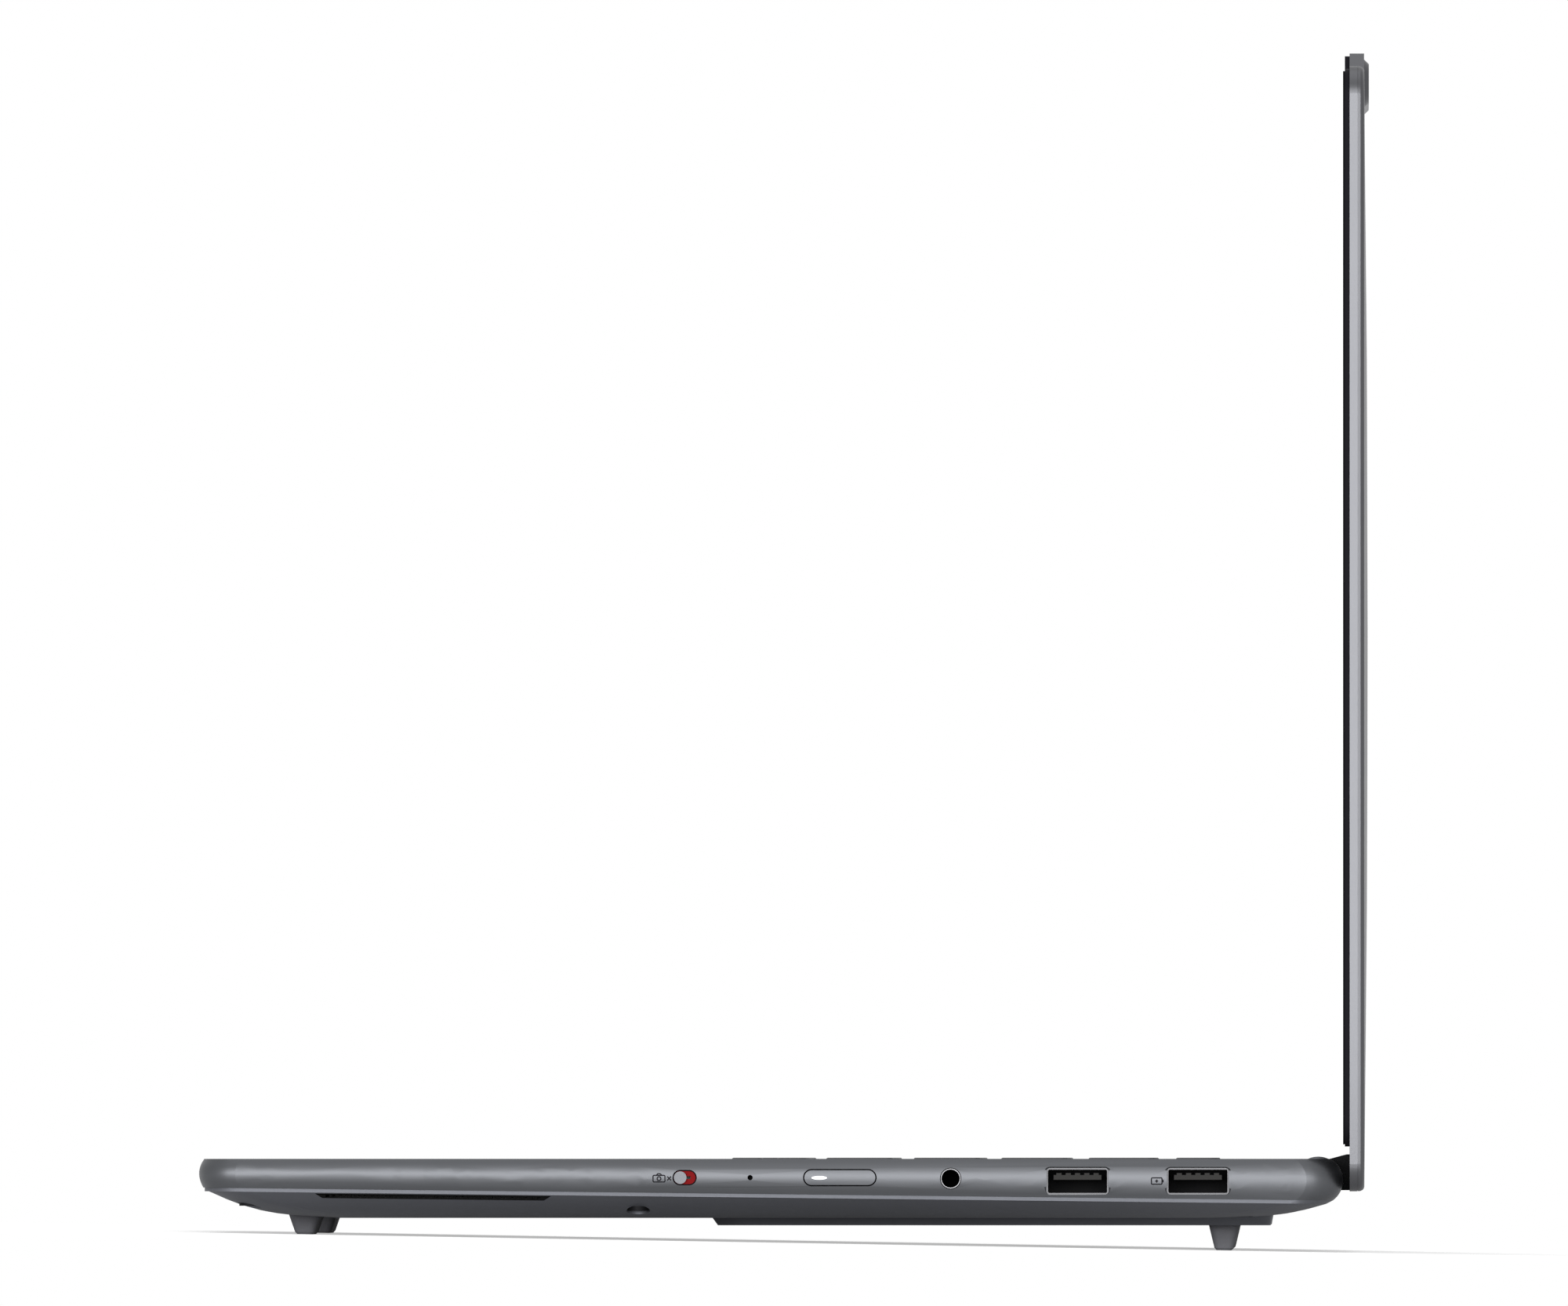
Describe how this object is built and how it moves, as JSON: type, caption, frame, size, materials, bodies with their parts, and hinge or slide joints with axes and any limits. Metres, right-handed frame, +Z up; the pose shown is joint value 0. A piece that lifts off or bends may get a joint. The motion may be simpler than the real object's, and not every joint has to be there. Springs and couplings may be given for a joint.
{
  "type": "laptop computer",
  "caption": "Slim laptop computer, open at a right angle, with a keyboard deck, a lid that folds flat on a barrel hinge, side ports, a camera shutter switch and rubber feet.",
  "frame": {"origin": "middle of the bounding box on the plane that the feet stand on", "axes": "+X to the user's right, +Y to the back, +Z up"},
  "size_m": [0.356, 0.2546, 0.2643],
  "materials": {
    "anodised_case": "satin anodised",
    "painted_cover": "matte",
    "button_metal": "satin anodised",
    "black_plastic": "matte",
    "key_plastic": "fine matte",
    "soft_rubber": "matte",
    "screen_glass": "anti-glare",
    "touchpad_glass": "fine matte",
    "warning_red": "matte",
    "bright_steel": "satin",
    "board_laminate": "satin",
    "chip_black": "matte",
    "copper": "polished",
    "battery_wrap": "satin",
    "cable_film": "satin"
  },
  "bodies": {
    "base": {"audio_jack": "black_plastic", "battery_pack": "battery_wrap", "bottom_cover": "painted_cover", "bottom_screws": "bright_steel", "fan_housing_left": "black_plastic", "fan_housing_right": "black_plastic", "fin_stacks": "copper", "front_feet": "soft_rubber", "heat_pipes": "copper", "heat_spreader": "copper", "hinge_bracket_left": "bright_steel", "hinge_bracket_right": "bright_steel", "key_dome_mat": "soft_rubber", "keyboard_plate": "bright_steel", "mainboard": "board_laminate", "memory_chips": "chip_black", "port_board_left": "board_laminate", "port_board_right": "board_laminate", "processor": "chip_black", "rear_foot": "soft_rubber", "rear_vent_grille": "black_plastic", "shutter_window": "warning_red", "speaker_grilles": "black_plastic", "speakers": "black_plastic", "storage_drive": "board_laminate", "top_case": "anodised_case", "touchpad_frame": "black_plastic", "type_a_ports": "bright_steel", "type_c_ports": "bright_steel", "video_port": "bright_steel", "wireless_card": "board_laminate"},
    "lid": {"lid_back_cover": "anodised_case", "screen_bezel": "black_plastic", "screen_gasket": "soft_rubber", "display_panel": "screen_glass", "camera_module": "black_plastic", "hinge_cover": "black_plastic", "hinge_leaf_left": "bright_steel", "hinge_leaf_right": "bright_steel", "display_cable": "cable_film"},
    "power_button": {"power_button": "button_metal"},
    "reset_button": {"reset_button": "black_plastic"},
    "shutter_slider": {"shutter_slider": "button_metal"},
    "touchpad": {"touchpad": "touchpad_glass"},
    "fan_left": {"fan_impeller_left": "black_plastic"},
    "fan_right": {"fan_impeller_right": "black_plastic"},
    "arrow_keys": {"arrow_keys": "key_plastic"},
    "backspace_key": {"backspace_key": "key_plastic"},
    "caps_lock_key": {"caps_lock_key": "key_plastic"},
    "enter_key": {"enter_key": "key_plastic"},
    "function_keys": {"function_keys": "key_plastic"},
    "home_letter_keys": {"home_letter_keys": "key_plastic"},
    "left_shift_key": {"left_shift_key": "key_plastic"},
    "lower_letter_keys": {"lower_letter_keys": "key_plastic"},
    "modifier_keys": {"modifier_keys": "key_plastic"},
    "number_keys": {"number_keys": "key_plastic"},
    "right_shift_key": {"right_shift_key": "key_plastic"},
    "space_bar": {"space_bar": "key_plastic"},
    "tab_key": {"tab_key": "key_plastic"},
    "upper_letter_keys": {"upper_letter_keys": "key_plastic"}
  },
  "joints": [
    {"name": "lid_hinge", "type": "hinge", "parent": "base", "child": "lid", "pos_m": [0, 0.11716, 0.01569], "axis": [-1, 0, 0], "range_deg": [-90, 90]},
    {"name": "power_button_press", "type": "slide", "parent": "base", "child": "power_button", "axis": [-1, 0, 0], "range_m": [0, 0.0005], "stiffness_N_per_m": 1500, "springref_m": -0.0003},
    {"name": "reset_button_press", "type": "slide", "parent": "base", "child": "reset_button", "axis": [-1, 0, 0], "range_m": [0, 0.0003], "stiffness_N_per_m": 1000, "springref_m": -0.0002},
    {"name": "shutter_slide", "type": "slide", "parent": "base", "child": "shutter_slider", "axis": [0, 0.9998, 0.0175], "range_m": [0, 0.00195]},
    {"name": "touchpad_click", "type": "hinge", "parent": "base", "child": "touchpad", "pos_m": [0, -0.02735, 0.01516], "axis": [1, 0, 0], "range_deg": [0, 0.2476], "stiffness_Nm_per_rad": 8, "springref_deg": -0.17},
    {"name": "fan_left_spin", "type": "hinge", "parent": "base", "child": "fan_left", "pos_m": [-0.105, 0.06777, 0.00902], "axis": [0, -0.0175, 0.9998], "continuous": true},
    {"name": "fan_right_spin", "type": "hinge", "parent": "base", "child": "fan_right", "pos_m": [0.105, 0.06777, 0.00902], "axis": [0, -0.0175, 0.9998], "continuous": true},
    {"name": "arrow_keys_press", "type": "slide", "parent": "base", "child": "arrow_keys", "axis": [0, 0.0175, -0.9998], "range_m": [0, 0.0013], "stiffness_N_per_m": 400, "springref_m": -0.0005, "deforming": ["key_dome_mat"]},
    {"name": "backspace_key_press", "type": "slide", "parent": "base", "child": "backspace_key", "axis": [0, 0.0175, -0.9998], "range_m": [0, 0.0013], "stiffness_N_per_m": 400, "springref_m": -0.0005, "deforming": ["key_dome_mat"]},
    {"name": "caps_lock_key_press", "type": "slide", "parent": "base", "child": "caps_lock_key", "axis": [0, 0.0175, -0.9998], "range_m": [0, 0.0013], "stiffness_N_per_m": 400, "springref_m": -0.0005, "deforming": ["key_dome_mat"]},
    {"name": "enter_key_press", "type": "slide", "parent": "base", "child": "enter_key", "axis": [0, 0.0175, -0.9998], "range_m": [0, 0.0013], "stiffness_N_per_m": 400, "springref_m": -0.0005, "deforming": ["key_dome_mat"]},
    {"name": "function_keys_press", "type": "slide", "parent": "base", "child": "function_keys", "axis": [0, 0.0175, -0.9998], "range_m": [0, 0.0013], "stiffness_N_per_m": 400, "springref_m": -0.0005, "deforming": ["key_dome_mat"]},
    {"name": "home_letter_keys_press", "type": "slide", "parent": "base", "child": "home_letter_keys", "axis": [0, 0.0175, -0.9998], "range_m": [0, 0.0013], "stiffness_N_per_m": 400, "springref_m": -0.0005, "deforming": ["key_dome_mat"]},
    {"name": "left_shift_key_press", "type": "slide", "parent": "base", "child": "left_shift_key", "axis": [0, 0.0175, -0.9998], "range_m": [0, 0.0013], "stiffness_N_per_m": 400, "springref_m": -0.0005, "deforming": ["key_dome_mat"]},
    {"name": "lower_letter_keys_press", "type": "slide", "parent": "base", "child": "lower_letter_keys", "axis": [0, 0.0175, -0.9998], "range_m": [0, 0.0013], "stiffness_N_per_m": 400, "springref_m": -0.0005, "deforming": ["key_dome_mat"]},
    {"name": "modifier_keys_press", "type": "slide", "parent": "base", "child": "modifier_keys", "axis": [0, 0.0175, -0.9998], "range_m": [0, 0.0013], "stiffness_N_per_m": 400, "springref_m": -0.0005, "deforming": ["key_dome_mat"]},
    {"name": "number_keys_press", "type": "slide", "parent": "base", "child": "number_keys", "axis": [0, 0.0175, -0.9998], "range_m": [0, 0.0013], "stiffness_N_per_m": 400, "springref_m": -0.0005, "deforming": ["key_dome_mat"]},
    {"name": "right_shift_key_press", "type": "slide", "parent": "base", "child": "right_shift_key", "axis": [0, 0.0175, -0.9998], "range_m": [0, 0.0013], "stiffness_N_per_m": 400, "springref_m": -0.0005, "deforming": ["key_dome_mat"]},
    {"name": "space_bar_press", "type": "slide", "parent": "base", "child": "space_bar", "axis": [0, 0.0175, -0.9998], "range_m": [0, 0.0013], "stiffness_N_per_m": 400, "springref_m": -0.0005, "deforming": ["key_dome_mat"]},
    {"name": "tab_key_press", "type": "slide", "parent": "base", "child": "tab_key", "axis": [0, 0.0175, -0.9998], "range_m": [0, 0.0013], "stiffness_N_per_m": 400, "springref_m": -0.0005, "deforming": ["key_dome_mat"]},
    {"name": "upper_letter_keys_press", "type": "slide", "parent": "base", "child": "upper_letter_keys", "axis": [0, 0.0175, -0.9998], "range_m": [0, 0.0013], "stiffness_N_per_m": 400, "springref_m": -0.0005, "deforming": ["key_dome_mat"]}
  ]
}
